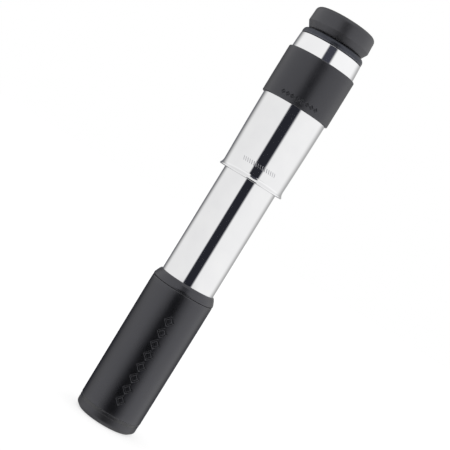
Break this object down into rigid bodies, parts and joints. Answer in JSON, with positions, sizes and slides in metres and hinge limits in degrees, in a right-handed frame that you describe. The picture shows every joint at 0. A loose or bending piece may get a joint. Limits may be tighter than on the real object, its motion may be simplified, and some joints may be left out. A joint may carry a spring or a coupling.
{
  "type": "mini bicycle pump",
  "caption": "Telescoping mini pump for bicycle tyres: rubber grip, polished plunger, flared polished cylinder with a rubber collar, screw-down valve chuck under a rubber cap.",
  "frame": {"origin": "centre of the flat face of the foot cap, on the surface that the pump stands on", "axes": "+Z along the pump's axis from the foot to the dust cap; X and Y are equal, because the pump is round"},
  "size_m": [0.0376, 0.0376, 0.2334],
  "materials": {
    "polished_aluminium": "mirror polished",
    "satin_aluminium": "satin, turned",
    "black_anodised_aluminium": "black anodised, satin",
    "brass": "turned",
    "steel": "bright",
    "grip_rubber": "satin black",
    "cap_rubber": "matte black",
    "seal_rubber": "greased black",
    "black_plastic": "moulded black",
    "gloss_black_plastic": "glossy black"
  },
  "bodies": {
    "plunger": {"foot_cap": "cap_rubber", "trim_ring": "gloss_black_plastic", "grip_sleeve": "grip_rubber", "grip_shoulder": "grip_rubber", "plunger_tube": "polished_aluminium", "foot_plug": "black_plastic", "plunger_plug": "satin_aluminium", "piston": "black_plastic", "piston_screw": "steel"},
    "piston_seal": {"piston_seal": "seal_rubber"},
    "mouth_guide": {"mouth_guide": "black_plastic", "stop_ring": "seal_rubber"},
    "cylinder": {"cylinder_tube": "polished_aluminium", "handle_collar": "grip_rubber", "head_body": "satin_aluminium", "head_seal": "seal_rubber", "head_ring": "black_anodised_aluminium", "valve_spring": "steel", "valve_plate": "brass", "chuck_gasket": "seal_rubber"},
    "valve_ball": {"valve_ball": "steel"},
    "thrust_washer": {"thrust_washer": "steel"},
    "chuck_nut": {"chuck_nut": "satin_aluminium"},
    "dust_cap": {"dust_cap": "cap_rubber"}
  },
  "joints": [
    {"name": "stroke", "type": "slide", "parent": "plunger", "child": "mouth_guide", "axis": [0, 0, 1], "range_m": [-0.0588, 0.001]},
    {"name": "cylinder_turn", "type": "hinge", "parent": "mouth_guide", "child": "cylinder", "pos_m": [0, 0, 0.144], "axis": [0, 0, 1], "continuous": true},
    {"name": "seal_float", "type": "slide", "parent": "plunger", "child": "piston_seal", "axis": [0, 0, 1], "range_m": [0, 0.0006]},
    {"name": "ball_lift", "type": "slide", "parent": "cylinder", "child": "valve_ball", "axis": [0, 0, 1], "range_m": [0, 0.0008], "stiffness_N_per_m": 60, "springref_m": -0.0005, "deforming": ["valve_spring"]},
    {"name": "washer_travel", "type": "slide", "parent": "cylinder", "child": "thrust_washer", "axis": [0, 0, 1], "range_m": [-0.00101, 0.00051], "deforming": ["chuck_gasket"]},
    {"name": "nut_turn", "type": "hinge", "parent": "thrust_washer", "child": "chuck_nut", "pos_m": [0, 0, 0.222], "axis": [0, 0, 1], "range_deg": [-360, 180]},
    {"name": "cap_pull", "type": "slide", "parent": "cylinder", "child": "dust_cap", "axis": [0, 0, 1], "range_m": [0, 0.03]}
  ],
  "couplings": [
    {"joint": "washer_travel", "follows": "nut_turn", "m_per_rad": 0.00015915}
  ]
}
